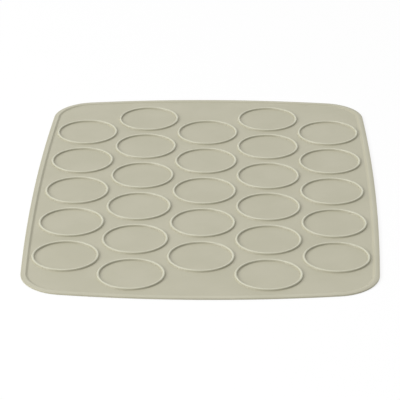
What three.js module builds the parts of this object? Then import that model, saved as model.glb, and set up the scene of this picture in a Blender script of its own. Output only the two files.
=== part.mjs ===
// A moulded silicone baking mat for piping round shells: a thin flat sheet with bowed sides and
// rounded corners, a raised rim round its edge, and staggered columns of raised ring ridges.
// Millimetres, +Z up. The origin is the centre of the underside, +Y runs along the mat's length,
// and columns and rows of rings are counted from -X and from +Y.

import * as THREE from "three";

// Driving dimensions of the sheet
const MAT_WIDTH = 276;
const MAT_LENGTH = 382.7;
const SIDE_BOW = 6; // how far a long side bulges out, over the mat's whole length
const END_BOW = 12; // how far a short end bulges out, over the mat's whole width
const CORNER_RADIUS = 35;
const SHEET_THICKNESS = 0.65;

// Driving dimensions of the rim, whose heights are above the sheet
const RIM_WIDTH = 5.7;
const RIM_HEIGHT = 0.9;
const RIM_CREST_INSET = 3.5; // from the mat's edge to the rim's highest line
const RIM_EDGE_HEIGHT = 0.6; // of the upright face at the mat's edge

// Driving dimensions of the ring ridges, whose height is above the sheet
const RINGS_IN_COLUMNS = [5, 6, 5, 6, 5];
const RING_PITCH = 60; // from ring to ring along a column
const COLUMN_PITCH = 51.5;
const RINGS_FORWARD = 2; // from the mat's middle to the middle of the rings, towards the front
const RING_CREST_DIAMETER = 49.4;
const RIDGE_WIDTH = 2.5;
const RIDGE_HEIGHT = 1.45;

// How finely round shapes are divided
const STEPS_PER_OUTLINE_ARC = 12;
const STEPS_OVER_CROWN = 3;
const STEPS_PER_RING = 32;
const STEPS_OVER_BEAD = 6; // even, so that one step ends on the crest

// Every piece is the same soft sage-beige silicone with a satin surface.
const SILICONE_COLOUR = 0xbdbaa7;
const SILICONE_ROUGHNESS = 0.5;

function siliconePiece(name, geometry) {
  const silicone = new THREE.MeshStandardMaterial({
    color: SILICONE_COLOUR,
    roughness: SILICONE_ROUGHNESS,
    metalness: 0,
  });
  const piece = new THREE.Mesh(geometry, silicone);
  piece.name = name;
  return piece;
}

// The radius of an arc that rises by this much over this half chord.
const arcRadius = (halfChord, rise) => (halfChord ** 2 + rise ** 2) / (2 * rise);

// The point, with both coordinates positive, that lies on two circles.
function crossing(centreA, radiusA, centreB, radiusB) {
  const apart = centreB.clone().sub(centreA);
  const distance = apart.length();
  const along = (radiusA ** 2 - radiusB ** 2 + distance ** 2) / (2 * distance);
  const across = Math.sqrt(radiusA ** 2 - along ** 2);
  const unit = apart.normalize();
  const foot = centreA.clone().addScaledVector(unit, along);
  const sideways = new THREE.Vector2(-unit.y, unit.x);
  const either = [across, -across].map((reach) => foot.clone().addScaledVector(sideways, reach));
  return either.find((point) => point.x > 0 && point.y > 0);
}

// The mat's outline as eight arcs that run into each other, anticlockwise from the right-hand side:
// four gently bowed sides and four corners. Each arc is { centre, radius, from, to }.
function outlineArcs() {
  const sideRadius = arcRadius(MAT_LENGTH / 2, SIDE_BOW);
  const endRadius = arcRadius(MAT_WIDTH / 2, END_BOW);
  const side = new THREE.Vector2(MAT_WIDTH / 2 - sideRadius, 0);
  const end = new THREE.Vector2(0, MAT_LENGTH / 2 - endRadius);
  const corner = crossing(side, sideRadius - CORNER_RADIUS, end, endRadius - CORNER_RADIUS);
  const sideTurn = corner.clone().sub(side).angle();
  const endTurn = corner.clone().sub(end).angle();

  const halfOutline = (turned) => {
    const sign = turned ? -1 : 1;
    const start = turned ? Math.PI : 0;
    const arc = (x, y, radius, from, to) => ({
      centre: new THREE.Vector2(sign * x, sign * y),
      radius,
      from: start + from,
      to: start + to,
    });
    return [
      arc(side.x, 0, sideRadius, -sideTurn, sideTurn),
      arc(corner.x, corner.y, CORNER_RADIUS, sideTurn, endTurn),
      arc(0, end.y, endRadius, endTurn, Math.PI - endTurn),
      arc(-corner.x, corner.y, CORNER_RADIUS, Math.PI - endTurn, Math.PI - sideTurn),
    ];
  };
  return [...halfOutline(false), ...halfOutline(true)];
}

// The outline moved in by a distance, as a ring of points. Every inset gives the same number of
// points in the same order, so two insets face each other point by point.
function outlinePoints(inset) {
  return outlineArcs().flatMap(({ centre, radius, from, to }) => {
    const reach = radius - inset;
    const curve = new THREE.EllipseCurve(centre.x, centre.y, reach, reach, from, to);
    return curve.getPoints(STEPS_PER_OUTLINE_ARC).slice(0, -1);
  });
}

// A closed band round the mat. Its section is a list of { inset, height } that runs anticlockwise
// when it is seen with the mat's middle on the left.
function bandGeometry(section) {
  const loops = section.map(({ inset, height }) =>
    outlinePoints(inset).map(({ x, y }) => new THREE.Vector3(x, y, height)),
  );
  const around = loops[0].length;
  const indices = [];
  section.forEach((_, row) => {
    const here = row * around;
    const next = ((row + 1) % section.length) * around;
    for (let i = 0; i < around; i += 1) {
      const j = (i + 1) % around;
      indices.push(here + i, here + j, next + j, here + i, next + j, next + i);
    }
  });
  return new THREE.BufferGeometry().setFromPoints(loops.flat()).setIndex(indices);
}

function baseSheet() {
  const outline = new THREE.Shape(outlinePoints(0));
  const geometry = new THREE.ExtrudeGeometry(outline, { depth: SHEET_THICKNESS, bevelEnabled: false });
  return siliconePiece("base_sheet", geometry);
}

// The raised edge: an upright face, a crown that rises inwards like a low dome, and an inner slope.
function rimBead() {
  const crown = [];
  for (let step = 0; step <= STEPS_OVER_CROWN; step += 1) {
    const share = step / STEPS_OVER_CROWN;
    const fall = (RIM_HEIGHT - RIM_EDGE_HEIGHT) * (1 - share) ** 2;
    crown.push({ inset: share * RIM_CREST_INSET, height: RIM_HEIGHT - fall });
  }
  const geometry = bandGeometry([{ inset: RIM_WIDTH, height: 0 }, { inset: 0, height: 0 }, ...crown]);
  const rim = siliconePiece("rim_bead", geometry);
  rim.position.z = SHEET_THICKNESS;
  return rim;
}

// One ridge, about its own centre: a low half-round bead turned into a ring.
function ridgeGeometry() {
  const crestRadius = RING_CREST_DIAMETER / 2;
  const overBead = new THREE.EllipseCurve(crestRadius, 0, RIDGE_WIDTH / 2, RIDGE_HEIGHT, 0, Math.PI);
  const bead = overBead.getPoints(STEPS_OVER_BEAD);
  const outerFoot = bead[0];
  const innerFoot = bead[STEPS_OVER_BEAD];
  innerFoot.y = outerFoot.y;
  return new THREE.LatheGeometry([...bead, outerFoot], STEPS_PER_RING).rotateX(Math.PI / 2);
}

// All ridges, column by column. Neighbouring columns differ by one ring, which staggers them.
function ringRidges() {
  const geometry = ridgeGeometry();
  const ridges = new THREE.Group();
  ridges.position.set(0, -RINGS_FORWARD, SHEET_THICKNESS);
  const middleColumn = (RINGS_IN_COLUMNS.length - 1) / 2;
  RINGS_IN_COLUMNS.forEach((rings, column) => {
    const middleRow = (rings - 1) / 2;
    for (let row = 0; row < rings; row += 1) {
      const ridge = siliconePiece(`ring_ridge_c${column + 1}_r${row + 1}`, geometry);
      ridge.position.x = (column - middleColumn) * COLUMN_PITCH;
      ridge.position.y = (middleRow - row) * RING_PITCH;
      ridges.add(ridge);
    }
  });
  return ridges;
}

const mat = new THREE.Group();
mat.name = "baking_mat";
mat.add(baseSheet(), rimBead(), ringRidges());

export default mat;
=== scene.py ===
"""A moulded silicone baking mat: a thin sheet, a raised rim and staggered ring ridges.

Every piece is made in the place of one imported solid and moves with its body. Lengths are metres.
"""

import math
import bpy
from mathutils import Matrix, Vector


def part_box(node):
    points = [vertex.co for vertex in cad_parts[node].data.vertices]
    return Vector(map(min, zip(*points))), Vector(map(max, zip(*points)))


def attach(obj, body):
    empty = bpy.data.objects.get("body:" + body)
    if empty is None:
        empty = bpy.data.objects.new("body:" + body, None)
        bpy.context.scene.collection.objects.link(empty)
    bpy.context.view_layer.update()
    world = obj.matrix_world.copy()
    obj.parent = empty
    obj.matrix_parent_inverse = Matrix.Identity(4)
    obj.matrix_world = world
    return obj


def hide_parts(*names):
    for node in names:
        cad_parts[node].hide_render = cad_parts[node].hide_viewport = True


bl_info = {
    "name": "Silicone Baking Mat",
    "version": (1, 0, 0),
    "blender": (4, 5, 0),
    "location": "View3D > Sidebar > Baking Mat",
    "description": "Makes a moulded silicone baking mat with ring ridges, and a plain studio for it",
    "category": "Add Mesh",
}

import bmesh
import bpy
from bpy.props import FloatProperty, FloatVectorProperty, IntProperty, PointerProperty
from mathutils import Matrix, Vector
from mathutils.geometry import intersect_sphere_sphere_2d

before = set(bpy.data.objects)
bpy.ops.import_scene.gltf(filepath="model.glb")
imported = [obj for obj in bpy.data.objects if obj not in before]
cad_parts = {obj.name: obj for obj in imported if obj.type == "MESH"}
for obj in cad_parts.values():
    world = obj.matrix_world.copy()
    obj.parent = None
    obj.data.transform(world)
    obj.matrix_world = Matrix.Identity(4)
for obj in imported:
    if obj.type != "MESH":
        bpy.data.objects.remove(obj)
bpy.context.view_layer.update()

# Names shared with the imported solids
BODY = "root"
SHEET_NODE = "base_sheet"
RIM_NODE = "rim_bead"
RIDGE_NODES = sorted(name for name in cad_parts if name.startswith("ring_ridge"))

# Sizes that the solids give
SHEET_LOW, SHEET_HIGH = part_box(SHEET_NODE)
RIM_LOW, RIM_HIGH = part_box(RIM_NODE)
RIDGE_LOW, RIDGE_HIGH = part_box(RIDGE_NODES[0])

# Small sizes are written in millimetres
MILLIMETRE = 0.001

# How finely the pieces are divided
ARC_STEPS = 36
RIM_POINTS = 46
RIDGE_POINTS = 33
ROUND_STEPS = 4
SHEET_LOOPS = 0.25, 0.5, 0.75

# Share of the step between a section's points that tells its end points from the others
HALF_STEP = 0.5

# Faces that meet at more than this angle keep a crisp edge
CRISP_EDGE = math.radians(50)

# How pieces of one moulding run into each other
SKIRT = 0.002 * MILLIMETRE
SKIRT_REACH = 0.4 * MILLIMETRE
EMBED = 0.3 * MILLIMETRE

# From the underside down to the floor, so that the two don't share a plane
FLOOR_GAP = 0.02 * MILLIMETRE

# How the silicone's finish varies
SILICONE_IOR = 1.41
PATTERN_MIDDLE = 0.5
CLOUD_EDGES = 0.3, 0.7
CLOUD_DETAIL = 3.0
CLOUD_SATIN = 0.05
GRAIN_DETAIL = 2.0
GRAIN_TINT = 0.06
GRAIN_SATIN = 0.1
GRAIN_BUMP = 0.5
CREST_SATIN = 0.04

# Heights above the sheet between which a ridge turns into its crest, which gets a painted highlight
# colour
CREST_START = 0.7 * MILLIMETRE
CREST_END = 1.25 * MILLIMETRE

# Height above the floor up to which the silicone is the matt underside
UNDERSIDE_TOP = 0.05 * MILLIMETRE

# The white that the sky and the floor show
WHITE = 1, 1, 1, 1

# The colour sockets of a Mix node, and the sockets of a Mix Shader node
MIX_FACTOR, MIX_FROM, MIX_TO, MIX_COLOUR = 0, 6, 7, 2
SHADER_FACTOR, SHADER_FROM, SHADER_TO = 0, 1, 2


class MatSheetSizes(bpy.types.PropertyGroup):
    """Sizes of the flat sheet and of its outline."""

    width: FloatProperty(
        name="Width",
        description="Across the mat, where it is widest",
        default=SHEET_HIGH.x - SHEET_LOW.x,
        unit="LENGTH",
    )
    length: FloatProperty(
        name="Length",
        description="Along the mat, where it is longest",
        default=SHEET_HIGH.y - SHEET_LOW.y,
        unit="LENGTH",
    )
    thickness: FloatProperty(
        name="Thickness",
        description="From the underside to the flat top",
        default=SHEET_HIGH.z - SHEET_LOW.z,
        unit="LENGTH",
    )
    side_bow: FloatProperty(
        name="Side Bow",
        description="How far a long side bulges out",
        default=6 * MILLIMETRE,
        unit="LENGTH",
    )
    end_bow: FloatProperty(
        name="End Bow",
        description="How far a short end bulges out",
        default=12 * MILLIMETRE,
        unit="LENGTH",
    )
    corner_radius: FloatProperty(
        name="Corner Radius",
        description="Radius of the outline's corners",
        default=35 * MILLIMETRE,
        unit="LENGTH",
    )
    underside_round: FloatProperty(
        name="Underside Round",
        description="Radius of the edge between the wall and the underside",
        default=0.3 * MILLIMETRE,
        unit="LENGTH",
    )


class MatRimSizes(bpy.types.PropertyGroup):
    """Sizes of the raised rim."""

    height: FloatProperty(
        name="Height",
        description="How far the rim's crown stands above the sheet",
        default=RIM_HIGH.z - RIM_LOW.z,
        unit="LENGTH",
    )
    width: FloatProperty(
        name="Width",
        description="From the mat's edge to the foot of the inner slope",
        default=5.7 * MILLIMETRE,
        unit="LENGTH",
    )
    crown: FloatProperty(
        name="Crown",
        description="From the mat's edge to the highest line of the rim",
        default=3.5 * MILLIMETRE,
        unit="LENGTH",
    )
    slope_skew: FloatProperty(
        name="Slope Skew",
        description="How the inner slope falls: 1 is even, and less falls sooner and runs out longer",
        default=0.86,
        min=0.3,
        max=1,
    )
    crown_fall: FloatProperty(
        name="Crown Fall",
        description="How far the crown has fallen where it meets the wall",
        default=0.3 * MILLIMETRE,
        unit="LENGTH",
    )
    edge_round: FloatProperty(
        name="Edge Round",
        description="Radius of the edge between the crown and the wall",
        default=0.15 * MILLIMETRE,
        unit="LENGTH",
    )


class MatRidgeSizes(bpy.types.PropertyGroup):
    """Sizes of one ring ridge."""

    height: FloatProperty(
        name="Height",
        description="How far the ridge stands above the sheet",
        default=RIDGE_HIGH.z - RIDGE_LOW.z,
        unit="LENGTH",
    )
    width: FloatProperty(
        name="Width",
        description="Width of the bead that forms the ridge, without its foot",
        default=2.5 * MILLIMETRE,
        unit="LENGTH",
    )
    fullness: FloatProperty(
        name="Fullness",
        description="How full the bead's section is: 2 is a parabola, and more is squarer",
        default=3.1,
        min=1.5,
        max=6,
    )
    foot_blend: FloatProperty(
        name="Foot Blend",
        description="Height over which the bead runs out into the sheet",
        default=0.16 * MILLIMETRE,
        unit="LENGTH",
    )
    steps: IntProperty(
        name="Steps",
        description="Steps round one ring",
        default=128,
        min=24,
    )


class MatFinish(bpy.types.PropertyGroup):
    """The look of the silicone."""

    colour: FloatVectorProperty(
        name="Colour",
        description="The silicone's own colour",
        default=(0.438, 0.418, 0.309),
        subtype="COLOR",
        min=0,
        max=1,
    )
    cloud_colour: FloatVectorProperty(
        name="Cloud Colour",
        description="Colour of the faint clouds where the pigment lies thicker",
        default=(0.418, 0.400, 0.293),
        subtype="COLOR",
        min=0,
        max=1,
    )
    # A lighter colour on the crests: a painted highlight
    crest_highlight_colour: FloatVectorProperty(
        name="Crest Highlight Colour",
        description="Colour of the painted highlight on the crests",
        default=(0.556, 0.545, 0.425),
        subtype="COLOR",
        min=0,
        max=1,
    )
    roughness: FloatProperty(
        name="Roughness",
        description="Roughness of the satin face",
        default=0.5,
        min=0,
        max=1,
    )
    gloss: FloatProperty(
        name="Gloss",
        description="Strength of the satin shine, where 0.5 is that of plain silicone",
        default=0.68,
        min=0,
        max=1,
    )
    underside_roughness: FloatProperty(
        name="Underside Roughness",
        description="Roughness of the matt underside that grips the tray",
        default=0.72,
        min=0,
        max=1,
    )
    grain_size: FloatProperty(
        name="Grain Size",
        description="Size of the fine grain that the mould leaves",
        default=0.7 * MILLIMETRE,
        unit="LENGTH",
    )
    grain_depth: FloatProperty(
        name="Grain Depth",
        description="Depth of the fine grain",
        default=0.02 * MILLIMETRE,
        unit="LENGTH",
    )
    cloud_size: FloatProperty(
        name="Cloud Size",
        description="Size of the pigment's faint clouds",
        default=38 * MILLIMETRE,
        unit="LENGTH",
    )


class MatStudio(bpy.types.PropertyGroup):
    """Camera, light and floor."""

    lens: FloatProperty(
        name="Lens",
        description="Focal length on a 36 mm sensor, in millimetres",
        default=198.46,
    )
    azimuth: FloatProperty(
        name="Azimuth",
        description="Turn of the camera round the mat, from the front",
        default=math.radians(1.53),
        subtype="ANGLE",
    )
    elevation: FloatProperty(
        name="Elevation",
        description="Angle of the camera above the mat",
        default=math.radians(24.83),
        subtype="ANGLE",
    )
    roll: FloatProperty(
        name="Roll",
        description="Turn of the camera about its own axis",
        default=math.radians(-0.361),
        subtype="ANGLE",
    )
    distance: FloatProperty(
        name="Distance",
        description="From the camera to the point that it looks at",
        default=1768.8 * MILLIMETRE,
        unit="LENGTH",
    )
    aim: FloatVectorProperty(
        name="Aim",
        description="The point that the camera looks at",
        default=(-3.1 * MILLIMETRE, -17.42 * MILLIMETRE, 0.0),
        subtype="TRANSLATION",
    )
    key_azimuth: FloatProperty(
        name="Key Azimuth",
        description="Where the key light stands, turned anticlockwise from +X",
        default=math.radians(203.5),
        subtype="ANGLE",
    )
    key_elevation: FloatProperty(
        name="Key Elevation",
        description="Angle of the key light above the mat",
        default=math.radians(29.5),
        subtype="ANGLE",
    )
    key_distance: FloatProperty(
        name="Key Distance",
        description="From the key light to the mat's middle",
        default=4.5,
        unit="LENGTH",
    )
    key_share: FloatProperty(
        name="Key Share",
        description="Share of the light on a flat surface that the key light gives",
        default=0.32,
        min=0,
        max=1,
    )
    key_spread: FloatProperty(
        name="Key Spread",
        description="Angle that the key light covers, which softens its shadows",
        default=math.radians(30.5),
        subtype="ANGLE",
    )
    back_azimuth: FloatProperty(
        name="Back Azimuth",
        description="Where the back light stands, turned anticlockwise from +X",
        default=math.radians(98),
        subtype="ANGLE",
    )
    back_elevation: FloatProperty(
        name="Back Elevation",
        description="Angle of the back light above the mat",
        default=math.radians(53.5),
        subtype="ANGLE",
    )
    back_share: FloatProperty(
        name="Back Share",
        description="Share of the light on a flat surface that the back light gives",
        default=0.21,
        min=0,
        max=1,
    )
    back_spread: FloatProperty(
        name="Back Spread",
        description="Angle that the back light covers",
        default=math.radians(7),
        subtype="ANGLE",
    )
    floor_colour: FloatVectorProperty(
        name="Floor Colour",
        description="Colour of the plain floor",
        default=(1.0, 1.0, 1.0),
        subtype="COLOR",
        min=0,
        max=1,
    )
    floor_white: FloatProperty(
        name="Floor White",
        description="How far the floor shows as plain white, which makes its shadows faint",
        default=0.75,
        min=0,
        max=1,
    )
    floor_size: FloatProperty(
        name="Floor Size",
        description="Side of the square floor",
        default=12.0,
        unit="LENGTH",
    )


class BakingMatSettings(bpy.types.PropertyGroup):
    """All sizes and colours of the baking mat."""

    sheet: PointerProperty(type=MatSheetSizes)
    rim: PointerProperty(type=MatRimSizes)
    ridge: PointerProperty(type=MatRidgeSizes)
    finish: PointerProperty(type=MatFinish)
    studio: PointerProperty(type=MatStudio)


class Wire:
    """A node's output. Arithmetic on it adds Math nodes to its tree."""

    def __init__(self, graph, node, output):
        self.graph = graph
        self.node = node
        self.socket = node.outputs[output]

    def output(self, name):
        """Another output of the same node."""
        return Wire(self.graph, self.node, name)

    def math(self, operation, *values):
        """A Math node on these values."""
        return self.graph.add("ShaderNodeMath", {"operation": operation}, dict(enumerate(values)))

    def __add__(self, other):
        return self.math("ADD", self, other)

    def __radd__(self, other):
        return self.math("ADD", other, self)

    def __sub__(self, other):
        return self.math("SUBTRACT", self, other)

    def __rsub__(self, other):
        return self.math("SUBTRACT", other, self)

    def __mul__(self, other):
        return self.math("MULTIPLY", self, other)

    def __rmul__(self, other):
        return self.math("MULTIPLY", other, self)

    def __truediv__(self, other):
        return self.math("DIVIDE", self, other)

    def __pow__(self, other):
        return self.math("POWER", self, other)

    def __abs__(self):
        return self.math("ABSOLUTE", self)

    def __lt__(self, other):
        return self.math("LESS_THAN", self, other)

    def at_least(self, other):
        """The larger of the two."""
        return self.math("MAXIMUM", self, other)


class Graph:
    """A node tree whose nodes all come from one method."""

    def __init__(self, tree):
        self.tree = tree

    def add(self, kind, settings=None, inputs=None, output=0):
        """Adds a node, makes its settings, then sets or links its inputs."""
        node = self.tree.nodes.new(kind)
        for name, value in (settings or {}).items():
            setattr(node, name, value)
        for name, value in (inputs or {}).items():
            if isinstance(value, Wire):
                self.tree.links.new(value.socket, node.inputs[name])
            else:
                node.inputs[name].default_value = value
        return Wire(self, node, output) if node.outputs else node

    def step(self, value, start, end):
        """0 up to start and 1 from end, with a smooth rise between them."""
        return self.add(
            "ShaderNodeMapRange",
            {"interpolation_type": "SMOOTHSTEP"},
            {"Value": value, "From Min": start, "From Max": end},
        )


class ShapeTree(Graph):
    """A Geometry Nodes tree with named inputs, which sweeps a section round a flat path."""

    SOCKETS = {
        "geometry": "NodeSocketGeometry",
        "number": "NodeSocketFloat",
        "count": "NodeSocketInt",
        "place": "NodeSocketVector",
        "material": "NodeSocketMaterial",
    }

    def __init__(self, name, **inputs):
        super().__init__(bpy.data.node_groups.new(name, "GeometryNodeTree"))
        face = self.tree.interface
        face.new_socket("Shape", in_out="OUTPUT", socket_type=self.SOCKETS["geometry"])
        self.identifiers = {}
        for label, kind in inputs.items():
            socket = face.new_socket(label, in_out="INPUT", socket_type=self.SOCKETS[kind])
            self.identifiers[label] = socket.identifier
        self.given = self.tree.nodes.new("NodeGroupInput")

    def input(self, label):
        """One of the tree's named inputs."""
        return Wire(self, self.given, label)

    def section(self, points, place):
        """A closed line of points.

        place turns a point's factor, from 0 to 1, into its reach outwards and its height.
        """
        line = self.add("GeometryNodeCurvePrimitiveLine", inputs={"End": (1, 0, 0)})
        line = self.add("GeometryNodeResampleCurve", inputs={"Curve": line, "Count": points})
        out, up = place(self.add("GeometryNodeSplineParameter", output="Factor"))
        # On a path that runs anticlockwise, a section's X points outwards and its Y points down
        spot = self.add("ShaderNodeCombineXYZ", inputs={"X": out, "Y": 0 - up})
        line = self.add("GeometryNodeSetPosition", inputs={"Geometry": line, "Position": spot})
        return self.add("GeometryNodeSetSplineCyclic", inputs={"Geometry": line, "Cyclic": True})

    def sweep(self, path, section):
        """The section carried round the path, smooth but for its crisp edges."""
        path = self.add("GeometryNodeSetCurveNormal", {"mode": "Z_UP"}, {"Curve": path})
        band = self.add("GeometryNodeCurveToMesh", inputs={"Curve": path, "Profile Curve": section})
        band = self.add("GeometryNodeSetShadeSmooth", {"domain": "FACE"}, {"Geometry": band})
        soft = self.add("GeometryNodeInputMeshEdgeAngle") < CRISP_EDGE
        return self.add(
            "GeometryNodeSetShadeSmooth", {"domain": "EDGE"}, {"Geometry": band, "Shade Smooth": soft}
        )

    def finish(self, shape):
        """Ends the tree with real geometry in its material."""
        real = self.add("GeometryNodeRealizeInstances", inputs={"Geometry": shape})
        made_of = self.input("Silicone")
        dressed = self.add("GeometryNodeSetMaterial", inputs={"Geometry": real, "Material": made_of})
        self.add("NodeGroupOutput", inputs={"Shape": dressed})

    def make(self, name, mesh, **values):
        """A new object with this tree's shape as its plain mesh."""
        piece = link_object(name, mesh)
        modifier = piece.modifiers.new("Shape", "NODES")
        modifier.node_group = self.tree
        for label, value in values.items():
            modifier[self.identifiers[label]] = value
        depsgraph = bpy.context.evaluated_depsgraph_get()
        shape = bpy.data.meshes.new_from_object(piece.evaluated_get(depsgraph), depsgraph=depsgraph)
        piece.modifiers.remove(modifier)
        piece.data = shape
        shape.name = name
        bpy.data.meshes.remove(mesh)
        return piece


def link_object(name, data):
    """A new object in the scene, at the origin."""
    made = bpy.data.objects.new(name, data)
    bpy.context.scene.collection.objects.link(made)
    return made


def stand_for(piece, node):
    """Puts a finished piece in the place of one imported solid."""
    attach(piece, BODY)
    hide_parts(node)


def arc_radius(half_chord, rise):
    """Radius of an arc that rises by this much over this half chord."""
    return (half_chord**2 + rise**2) / (2 * rise)


def outline_arcs(sheet):
    """The outline's eight arcs, anticlockwise from the right: (centre, radius, start, stop)."""
    side_radius = arc_radius(sheet.length / 2, sheet.side_bow)
    end_radius = arc_radius(sheet.width / 2, sheet.end_bow)
    side = Vector((sheet.width / 2 - side_radius, 0))
    end = Vector((0, sheet.length / 2 - end_radius))
    inner = sheet.corner_radius
    crossings = intersect_sphere_sphere_2d(side, side_radius - inner, end, end_radius - inner)
    corner = next(point for point in crossings if point.x > 0 and point.y > 0)
    side_turn = math.atan2(corner.y - side.y, corner.x - side.x)
    end_turn = math.atan2(corner.y - end.y, corner.x - end.x)
    left_corner = Vector((-corner.x, corner.y))
    half = [
        (side, side_radius, -side_turn, side_turn),
        (corner, sheet.corner_radius, side_turn, end_turn),
        (end, end_radius, end_turn, math.pi - end_turn),
        (left_corner, sheet.corner_radius, math.pi - end_turn, math.pi - side_turn),
    ]
    other_half = [
        (-centre, radius, start + math.pi, stop + math.pi) for centre, radius, start, stop in half
    ]
    return half + other_half


def outline(sheet, inset=0.0, scale=1.0):
    """The outline's points, moved in by the inset and drawn towards the middle by the scale."""
    points = []
    for centre, radius, start, stop in outline_arcs(sheet):
        for step in range(ARC_STEPS):
            angle = start + (stop - start) * step / ARC_STEPS
            outwards = Vector((math.cos(angle), math.sin(angle)))
            points.append(scale * (centre + (radius - inset) * outwards))
    return points


def sheet_mesh(sheet):
    """A closed sheet of loops, from the underside's middle round the edge to the top's middle."""
    edge = sheet.underside_round
    rows = [(outline(sheet, edge, scale), 0.0) for scale in SHEET_LOOPS]
    # A loop close to the rounded edge keeps the underside's shading flat
    rows.append((outline(sheet, 2 * edge), 0.0))
    for step in range(ROUND_STEPS + 1):
        turn = math.pi / 2 * step / ROUND_STEPS
        inset = edge * (1 - math.sin(turn))
        rows.append((outline(sheet, inset), edge * (1 - math.cos(turn))))
    rows.append((outline(sheet), sheet.thickness))
    rows += [(outline(sheet, 0.0, scale), sheet.thickness) for scale in reversed(SHEET_LOOPS)]

    shape = bmesh.new()
    loops = [[shape.verts.new((*point, height)) for point in points] for points, height in rows]
    around = len(loops[0])
    for lower, upper in zip(loops, loops[1:]):
        for here in range(around):
            after = (here + 1) % around
            shape.faces.new((lower[here], lower[after], upper[after], upper[here]))
    bottom = shape.verts.new((0, 0, 0))
    top = shape.verts.new((0, 0, sheet.thickness))
    for here in range(around):
        after = (here + 1) % around
        shape.faces.new((loops[0][after], loops[0][here], bottom))
        shape.faces.new((loops[-1][here], loops[-1][after], top))
    for face in shape.faces:
        face.smooth = True
    mesh = bpy.data.meshes.new("mat_sheet")
    shape.to_mesh(mesh)
    shape.free()
    mesh.set_sharp_from_angle(angle=CRISP_EDGE)
    return mesh


def outline_path(sheet):
    """The mat's outline as a loop of edges."""
    points = outline(sheet)
    edges = [(here, (here + 1) % len(points)) for here in range(len(points))]
    mesh = bpy.data.meshes.new("outline_path")
    mesh.from_pydata([(*point, 0) for point in points], edges, [])
    return mesh


def rim_tree():
    """Sweeps the rim round the outline: a wall, a rounded edge, a domed crown and an inner slope."""
    tree = ShapeTree(
        "Mat Rim",
        Path="geometry",
        Silicone="material",
        Base="number",
        Height="number",
        Width="number",
        Crown="number",
        Skew="number",
        Fall="number",
        Round="number",
    )
    base, height, width = tree.input("Base"), tree.input("Height"), tree.input("Width")
    crown, skew = tree.input("Crown"), tree.input("Skew")
    fall, edge_round = tree.input("Fall"), tree.input("Round")

    def place(factor):
        # The section runs outwards, as a ridge's does, so that its faces look out
        from_wall = 1 - factor
        # The two points at the wall share its inset, and the others lie closest together at the edge
        along = ((from_wall * (RIM_POINTS - 1) - 1) / (RIM_POINTS - 2)).at_least(0)
        inset = along**2 * (width + SKIRT_REACH)
        down = ((inset - crown) / (width - crown)).at_least(0)
        slope = tree.step(down**skew, 0.0, 1.0)
        dome = fall * (1 - inset / crown).at_least(0) ** 2
        top = base + height - dome - slope * (height + SKIRT)
        wall_top = base + height - fall - edge_round
        turn = (1 - (1 - inset / edge_round).at_least(0) ** 2) ** 0.5
        up = wall_top + (top - wall_top) * turn
        foot = from_wall < HALF_STEP / (RIM_POINTS - 1)
        return 0 - inset, up + (base - up) * foot

    path = tree.add("GeometryNodeMeshToCurve", inputs={"Mesh": tree.input("Path")})
    tree.finish(tree.sweep(path, tree.section(RIM_POINTS, place)))
    return tree


def ridge_tree():
    """Sweeps a bead round a ring. Its foot runs out flat into the sheet."""
    tree = ShapeTree(
        "Mat Ridge",
        Silicone="material",
        Middle="place",
        Radius="number",
        Width="number",
        Height="number",
        Fullness="number",
        Blend="number",
        Steps="count",
    )

    def place(factor):
        half = tree.input("Width") / 2
        sweep = factor * 2 - 1
        out = sweep * (half + SKIRT_REACH)
        bead = tree.input("Height") * (1 - abs(out / half) ** tree.input("Fullness"))
        relief = bead.math("SMOOTH_MAX", bead, -SKIRT, tree.input("Blend"))
        # The two end points lie inside the sheet
        inside = abs(sweep) < 1 - 2 * HALF_STEP / (RIDGE_POINTS - 1)
        return out, relief * inside - EMBED * (1 - inside)

    circle = tree.add(
        "GeometryNodeCurvePrimitiveCircle",
        inputs={"Resolution": tree.input("Steps"), "Radius": tree.input("Radius")},
    )
    ring = tree.sweep(circle, tree.section(RIDGE_POINTS, place))
    ring = tree.add(
        "GeometryNodeTransform", inputs={"Geometry": ring, "Translation": tree.input("Middle")}
    )
    tree.finish(ring)
    return tree


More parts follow.
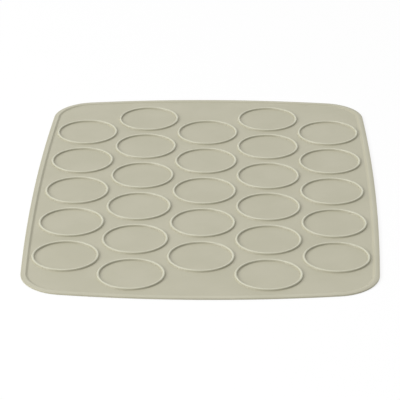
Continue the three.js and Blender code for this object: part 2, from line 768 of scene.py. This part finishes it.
def silicone(finish, sheet_top):
    """Satin silicone with faint clouds, a fine mould grain, crests painted lighter as a highlight and a
    matt underside.
    """
    name = "sage_silicone"
    # All pieces share one material
    if name in bpy.data.materials:
        return bpy.data.materials[name]
    material = bpy.data.materials.new(name)
    material.use_nodes = True
    material.node_tree.nodes.clear()
    graph = Graph(material.node_tree)
    place = graph.add("ShaderNodeTexCoord", output="Object")
    height = graph.add("ShaderNodeSeparateXYZ", inputs={"Vector": place}, output="Z")

    def noise(size, detail):
        return graph.add(
            "ShaderNodeTexNoise", inputs={"Vector": place, "Scale": 1 / size, "Detail": detail}
        )

    def mixed(factor, start, end):
        inputs = {MIX_FACTOR: factor, MIX_FROM: start, MIX_TO: end}
        return graph.add("ShaderNodeMix", {"data_type": "RGBA"}, inputs, MIX_COLOUR)

    cloud = graph.step(noise(finish.cloud_size, CLOUD_DETAIL), *CLOUD_EDGES)
    grain = noise(finish.grain_size, GRAIN_DETAIL)
    # Mask of the crests by height: they get the painted highlight colour and a slightly smoother finish
    crest = graph.step(height, sheet_top + CREST_START, sheet_top + CREST_END)
    under = height < UNDERSIDE_TOP

    tint = mixed(cloud, (*finish.colour, 1), (*finish.cloud_colour, 1))
    # Paints the highlight on the crests
    tint = mixed(crest, tint, (*finish.crest_highlight_colour, 1))
    shade = 1 + (grain - PATTERN_MIDDLE) * GRAIN_TINT
    tint = graph.add("ShaderNodeHueSaturation", inputs={"Color": tint, "Value": shade})

    satin = finish.roughness + (cloud - PATTERN_MIDDLE) * CLOUD_SATIN
    satin = satin + (grain - PATTERN_MIDDLE) * GRAIN_SATIN - crest * CREST_SATIN
    roughness = satin + (finish.underside_roughness - satin) * under
    bump = graph.add(
        "ShaderNodeBump",
        inputs={"Height": grain, "Strength": GRAIN_BUMP, "Distance": finish.grain_depth},
    )
    surface = graph.add(
        "ShaderNodeBsdfPrincipled",
        inputs={
            "Base Color": tint,
            "Roughness": roughness,
            "Normal": bump,
            "IOR": SILICONE_IOR,
            "Specular IOR Level": finish.gloss,
        },
    )
    graph.add("ShaderNodeOutputMaterial", inputs={"Surface": surface})
    return material


def seen(graph):
    """1 for rays that show the surroundings as a picture: to the camera, in gloss and through glass."""
    path = graph.add("ShaderNodeLightPath", output="Is Camera Ray")
    return path.at_least(path.output("Is Glossy Ray")).at_least(path.output("Is Transmission Ray"))


def floor_material(studio):
    """Plain pale floor that keeps faint shadows and shows white where there are none."""
    material = bpy.data.materials.new("studio_floor")
    material.use_nodes = True
    material.node_tree.nodes.clear()
    graph = Graph(material.node_tree)
    paint = graph.add("ShaderNodeBsdfDiffuse", inputs={"Color": (*studio.floor_colour, 1)})
    white = graph.add("ShaderNodeEmission", inputs={"Color": WHITE, "Strength": 1.0})
    share = seen(graph) * studio.floor_white
    inputs = {SHADER_FACTOR: share, SHADER_FROM: paint, SHADER_TO: white}
    floor = graph.add("ShaderNodeMixShader", inputs=inputs)
    graph.add("ShaderNodeOutputMaterial", inputs={"Surface": floor})
    return material


def add_floor(studio):
    """The floor, just under the mat."""
    half = studio.floor_size / 2
    corners = [(-half, -half), (half, -half), (half, half), (-half, half)]
    mesh = bpy.data.meshes.new("studio_floor")
    mesh.from_pydata([(x, y, -FLOOR_GAP) for x, y in corners], [], [(0, 1, 2, 3)])
    mesh.materials.append(floor_material(studio))
    link_object("studio_floor", mesh)


def add_sky(studio):
    """Even light from all round, the share that the lamps leave, which shows as white."""
    world = bpy.data.worlds.new("studio_sky")
    world.use_nodes = True
    world.node_tree.nodes.clear()
    graph = Graph(world.node_tree)
    lamps = studio.key_share + studio.back_share
    strength = (1 - lamps) + seen(graph) * lamps
    sky = graph.add("ShaderNodeBackground", inputs={"Color": WHITE, "Strength": strength})
    graph.add("ShaderNodeOutputWorld", inputs={"Surface": sky})
    bpy.context.scene.world = world


def direction(azimuth, elevation):
    """Unit vector towards a place in the sky, with azimuth turned anticlockwise from +X."""
    flat = math.cos(elevation)
    return Vector((flat * math.cos(azimuth), flat * math.sin(azimuth), math.sin(elevation)))


def hang_lamp(lamp, azimuth, elevation, distance=0.0):
    """Puts a lamp in its place, turned to the mat's middle. A sun needs no distance."""
    towards = direction(azimuth, elevation)
    hung = link_object(lamp.name, lamp)
    hung.location = distance * towards
    hung.rotation_euler = towards.to_track_quat("Z", "Y").to_euler()
    hung.visible_camera = False


def beam(share, elevation):
    """Watts on a square metre that faces the lamp, for this share of the light on the flat mat.

    All of that light is as much as a sky of strength 1 gives, which is pi watts on a square metre.
    """
    return share * math.pi / math.sin(elevation)


def add_key(studio):
    """A softbox at the left that draws out the relief, and whose light fades over the mat."""
    half_spread = studio.key_spread / 2
    key = bpy.data.lights.new("studio_key", "AREA")
    key.shape = "DISK"
    key.size = 2 * studio.key_distance * math.tan(half_spread)
    # From the mat's middle to the disk's edge, which with the disk's even glow gives its power
    reach = studio.key_distance / math.cos(half_spread)
    key.energy = math.pi * reach**2 * beam(studio.key_share, studio.key_elevation)
    hang_lamp(key, studio.key_azimuth, studio.key_elevation, studio.key_distance)


def add_back_light(studio):
    """A lamp far behind the mat that shines on the crests."""
    back = bpy.data.lights.new("studio_back", "SUN")
    back.energy = beam(studio.back_share, studio.back_elevation)
    back.angle = studio.back_spread
    hang_lamp(back, studio.back_azimuth, studio.back_elevation)


def add_camera(studio):
    """A long lens in front of the mat."""
    view = bpy.data.cameras.new("studio_camera")
    view.lens = studio.lens
    camera = link_object("studio_camera", view)
    # The camera's azimuth is counted from the front, which is -Y
    back = direction(studio.azimuth - math.pi / 2, studio.elevation)
    place = Matrix.Translation(Vector(studio.aim) + studio.distance * back)
    turn = (-back).to_track_quat("-Z", "Y").to_matrix().to_4x4()
    camera.matrix_world = place @ turn @ Matrix.Rotation(studio.roll, 4, "Z")
    bpy.context.scene.camera = camera


class BAKINGMAT_OT_make_stage(bpy.types.Operator):
    """Adds the camera, the light and the floor"""

    bl_idname = "baking_mat.make_stage"
    bl_label = "Make Stage"

    def execute(self, context):
        studio = context.scene.baking_mat.studio
        add_camera(studio)
        add_floor(studio)
        add_sky(studio)
        add_key(studio)
        add_back_light(studio)
        context.scene.view_settings.view_transform = "Standard"
        return {"FINISHED"}


class BAKINGMAT_OT_make_sheet(bpy.types.Operator):
    """Makes the flat sheet"""

    bl_idname = "baking_mat.make_sheet"
    bl_label = "Make Sheet"

    def execute(self, context):
        mat = context.scene.baking_mat
        mesh = sheet_mesh(mat.sheet)
        mesh.materials.append(silicone(mat.finish, mat.sheet.thickness))
        stand_for(link_object("mat_sheet", mesh), SHEET_NODE)
        return {"FINISHED"}


class BAKINGMAT_OT_make_rim(bpy.types.Operator):
    """Makes the raised rim"""

    bl_idname = "baking_mat.make_rim"
    bl_label = "Make Rim"

    def execute(self, context):
        mat = context.scene.baking_mat
        piece = rim_tree().make(
            "mat_rim",
            outline_path(mat.sheet),
            Silicone=silicone(mat.finish, mat.sheet.thickness),
            Base=mat.sheet.thickness,
            Height=mat.rim.height,
            Width=mat.rim.width,
            Crown=mat.rim.crown,
            Skew=mat.rim.slope_skew,
            Fall=mat.rim.crown_fall,
            Round=mat.rim.edge_round,
        )
        stand_for(piece, RIM_NODE)
        return {"FINISHED"}


class BAKINGMAT_OT_make_ridges(bpy.types.Operator):
    """Makes a ring ridge in the place of each ridge of the frame"""

    bl_idname = "baking_mat.make_ridges"
    bl_label = "Make Ridges"

    def execute(self, context):
        mat = context.scene.baking_mat
        tree = ridge_tree()
        for node in RIDGE_NODES:
            low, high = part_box(node)
            middle = (low + high) / 2
            name = node.replace("ring", "mat")
            piece = tree.make(
                name,
                bpy.data.meshes.new(name),
                Silicone=silicone(mat.finish, mat.sheet.thickness),
                Middle=(middle.x, middle.y, mat.sheet.thickness),
                Radius=(high.x - low.x - mat.ridge.width) / 2,
                Width=mat.ridge.width,
                Height=mat.ridge.height,
                Fullness=mat.ridge.fullness,
                Blend=mat.ridge.foot_blend,
                Steps=mat.ridge.steps,
            )
            stand_for(piece, node)
        return {"FINISHED"}


class BAKINGMAT_PT_panel(bpy.types.Panel):
    """Sizes, colours and makers of the baking mat"""

    bl_idname = "BAKINGMAT_PT_panel"
    bl_label = "Baking Mat"
    bl_space_type = "VIEW_3D"
    bl_region_type = "UI"
    bl_category = "Baking Mat"

    def draw(self, context):
        mat = context.scene.baking_mat
        for title, group, maker in (
            ("Stage", mat.studio, BAKINGMAT_OT_make_stage),
            ("Sheet", mat.sheet, BAKINGMAT_OT_make_sheet),
            ("Rim", mat.rim, BAKINGMAT_OT_make_rim),
            ("Ridges", mat.ridge, BAKINGMAT_OT_make_ridges),
            ("Silicone", mat.finish, None),
        ):
            box = self.layout.box()
            box.label(text=title)
            for name in group.bl_rna.properties.keys():
                if name not in ("rna_type", "name"):
                    box.prop(group, name)
            if maker:
                box.operator(maker.bl_idname)


CLASSES = (
    MatSheetSizes,
    MatRimSizes,
    MatRidgeSizes,
    MatFinish,
    MatStudio,
    BakingMatSettings,
    BAKINGMAT_OT_make_stage,
    BAKINGMAT_OT_make_sheet,
    BAKINGMAT_OT_make_rim,
    BAKINGMAT_OT_make_ridges,
    BAKINGMAT_PT_panel,
)


def register():
    for kind in CLASSES:
        bpy.utils.register_class(kind)
    bpy.types.Scene.baking_mat = PointerProperty(type=BakingMatSettings)


def unregister():
    del bpy.types.Scene.baking_mat
    for kind in reversed(CLASSES):
        bpy.utils.unregister_class(kind)


def main():
    """Makes the stage and all pieces."""
    register()
    bpy.ops.baking_mat.make_stage()
    bpy.ops.baking_mat.make_sheet()
    bpy.ops.baking_mat.make_rim()
    bpy.ops.baking_mat.make_ridges()


if __name__ == "__main__":
    main()
